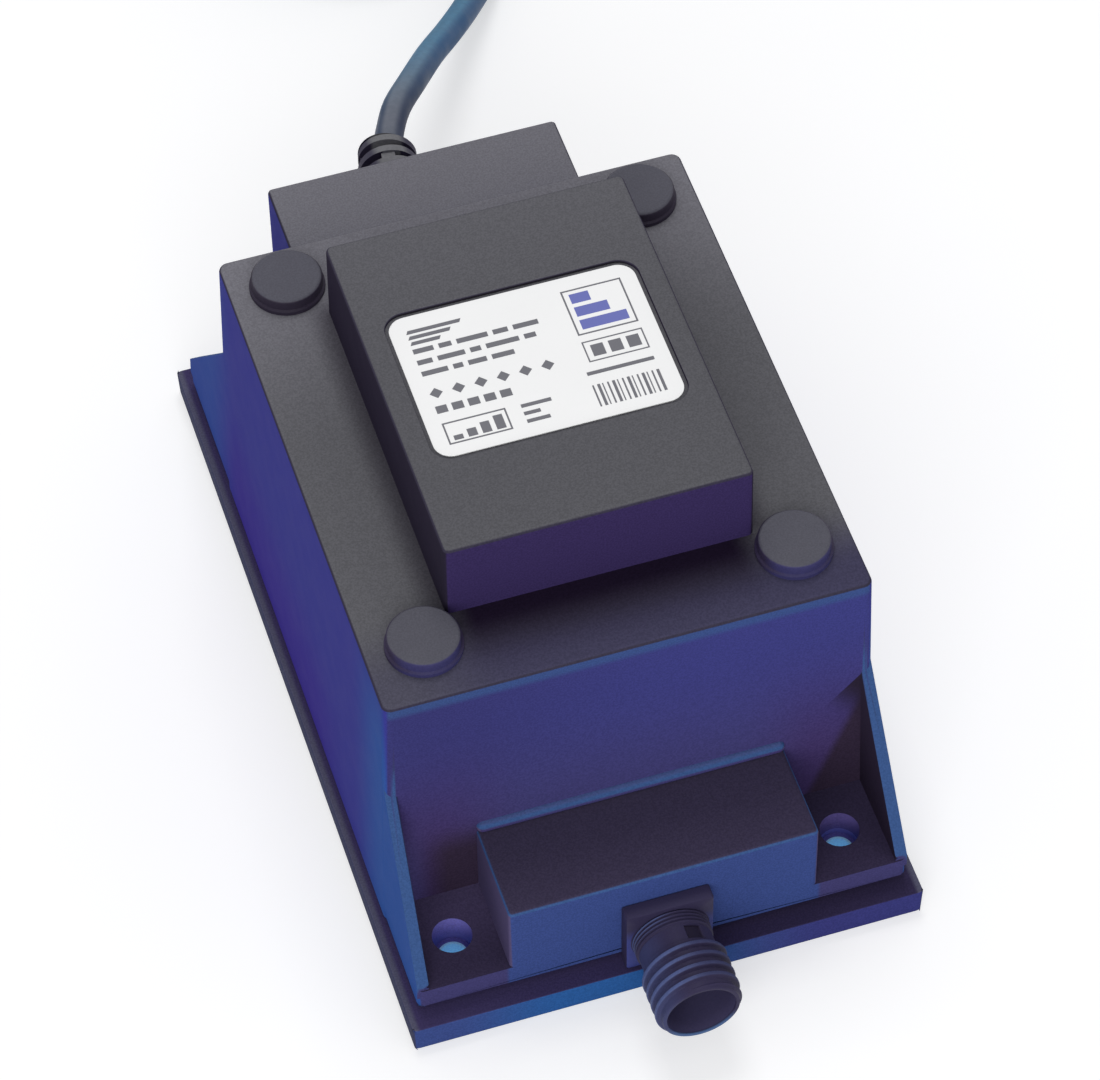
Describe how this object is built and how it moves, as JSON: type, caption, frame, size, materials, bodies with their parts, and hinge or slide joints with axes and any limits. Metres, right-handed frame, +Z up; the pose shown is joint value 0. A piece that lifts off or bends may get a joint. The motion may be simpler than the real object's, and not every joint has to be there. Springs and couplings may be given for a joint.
{
  "type": "lighting transformer",
  "caption": "Splash-proof transformer for garden lighting: box with a raised label block, fixing feet, screw caps, a threaded low-voltage socket and a mains cord with plug.",
  "frame": {"origin": "centre of the four fixing holes, on the underside of the base plate", "axes": "+X across the box to the right when the low-voltage socket faces the viewer, +Y from the socket towards the mains cord, +Z up from the base plate to the label"},
  "size_m": [0.1509, 0.4177, 0.0986],
  "materials": {
    "cover_plastic": "fine grained moulded plastic",
    "plate_plastic": "fine grained moulded plastic",
    "cap_plastic": "satin moulded plastic",
    "gasket_rubber": "matte",
    "screw_steel": "zinc plated",
    "label_film": "satin printed film",
    "socket_plastic": "satin moulded plastic",
    "insert_plastic": "satin",
    "contact_brass": "bright plated",
    "relief_rubber": "matte",
    "cord_rubber": "matte",
    "core_steel": "dull rolled sheet",
    "bobbin_plastic": "satin",
    "winding_copper": "enamelled wire",
    "tape": "glossy film",
    "cutout_plastic": "satin",
    "lead_brown": "satin",
    "lead_blue": "satin",
    "lead_black": "satin",
    "plug_rubber": "satin"
  },
  "bodies": {
    "root": {"base_plate": "plate_plastic", "base_gasket": "gasket_rubber", "housing_cover": "cover_plastic", "screw_cap_front_left": "cap_plastic", "screw_cap_front_right": "cap_plastic", "screw_cap_back_left": "cap_plastic", "screw_cap_back_right": "cap_plastic", "cover_screws": "screw_steel", "rating_label": "label_film", "output_connector": "socket_plastic", "connector_insert": "insert_plastic", "contact_pin_left": "contact_brass", "contact_pin_right": "contact_brass", "connector_lock_nut": "socket_plastic", "connector_o_ring": "gasket_rubber", "strain_relief": "relief_rubber", "cord_tail": "cord_rubber", "lead_live": "lead_brown", "lead_neutral": "lead_blue", "lead_output_left": "lead_black", "lead_output_right": "lead_black", "core_e_laminations": "core_steel", "core_i_laminations": "core_steel", "core_screws": "screw_steel", "bobbin": "bobbin_plastic", "primary_winding": "winding_copper", "secondary_winding": "winding_copper", "winding_tape": "tape", "thermal_cutout": "cutout_plastic", "primary_tags": "contact_brass", "secondary_tags": "contact_brass", "mains_cord": "cord_rubber", "cord_coil": "cord_rubber", "cord_tie": "gasket_rubber", "plug_cord": "cord_rubber", "plug_body": "plug_rubber", "plug_pin_left": "screw_steel", "plug_pin_right": "screw_steel"}
  },
  "joints": []
}
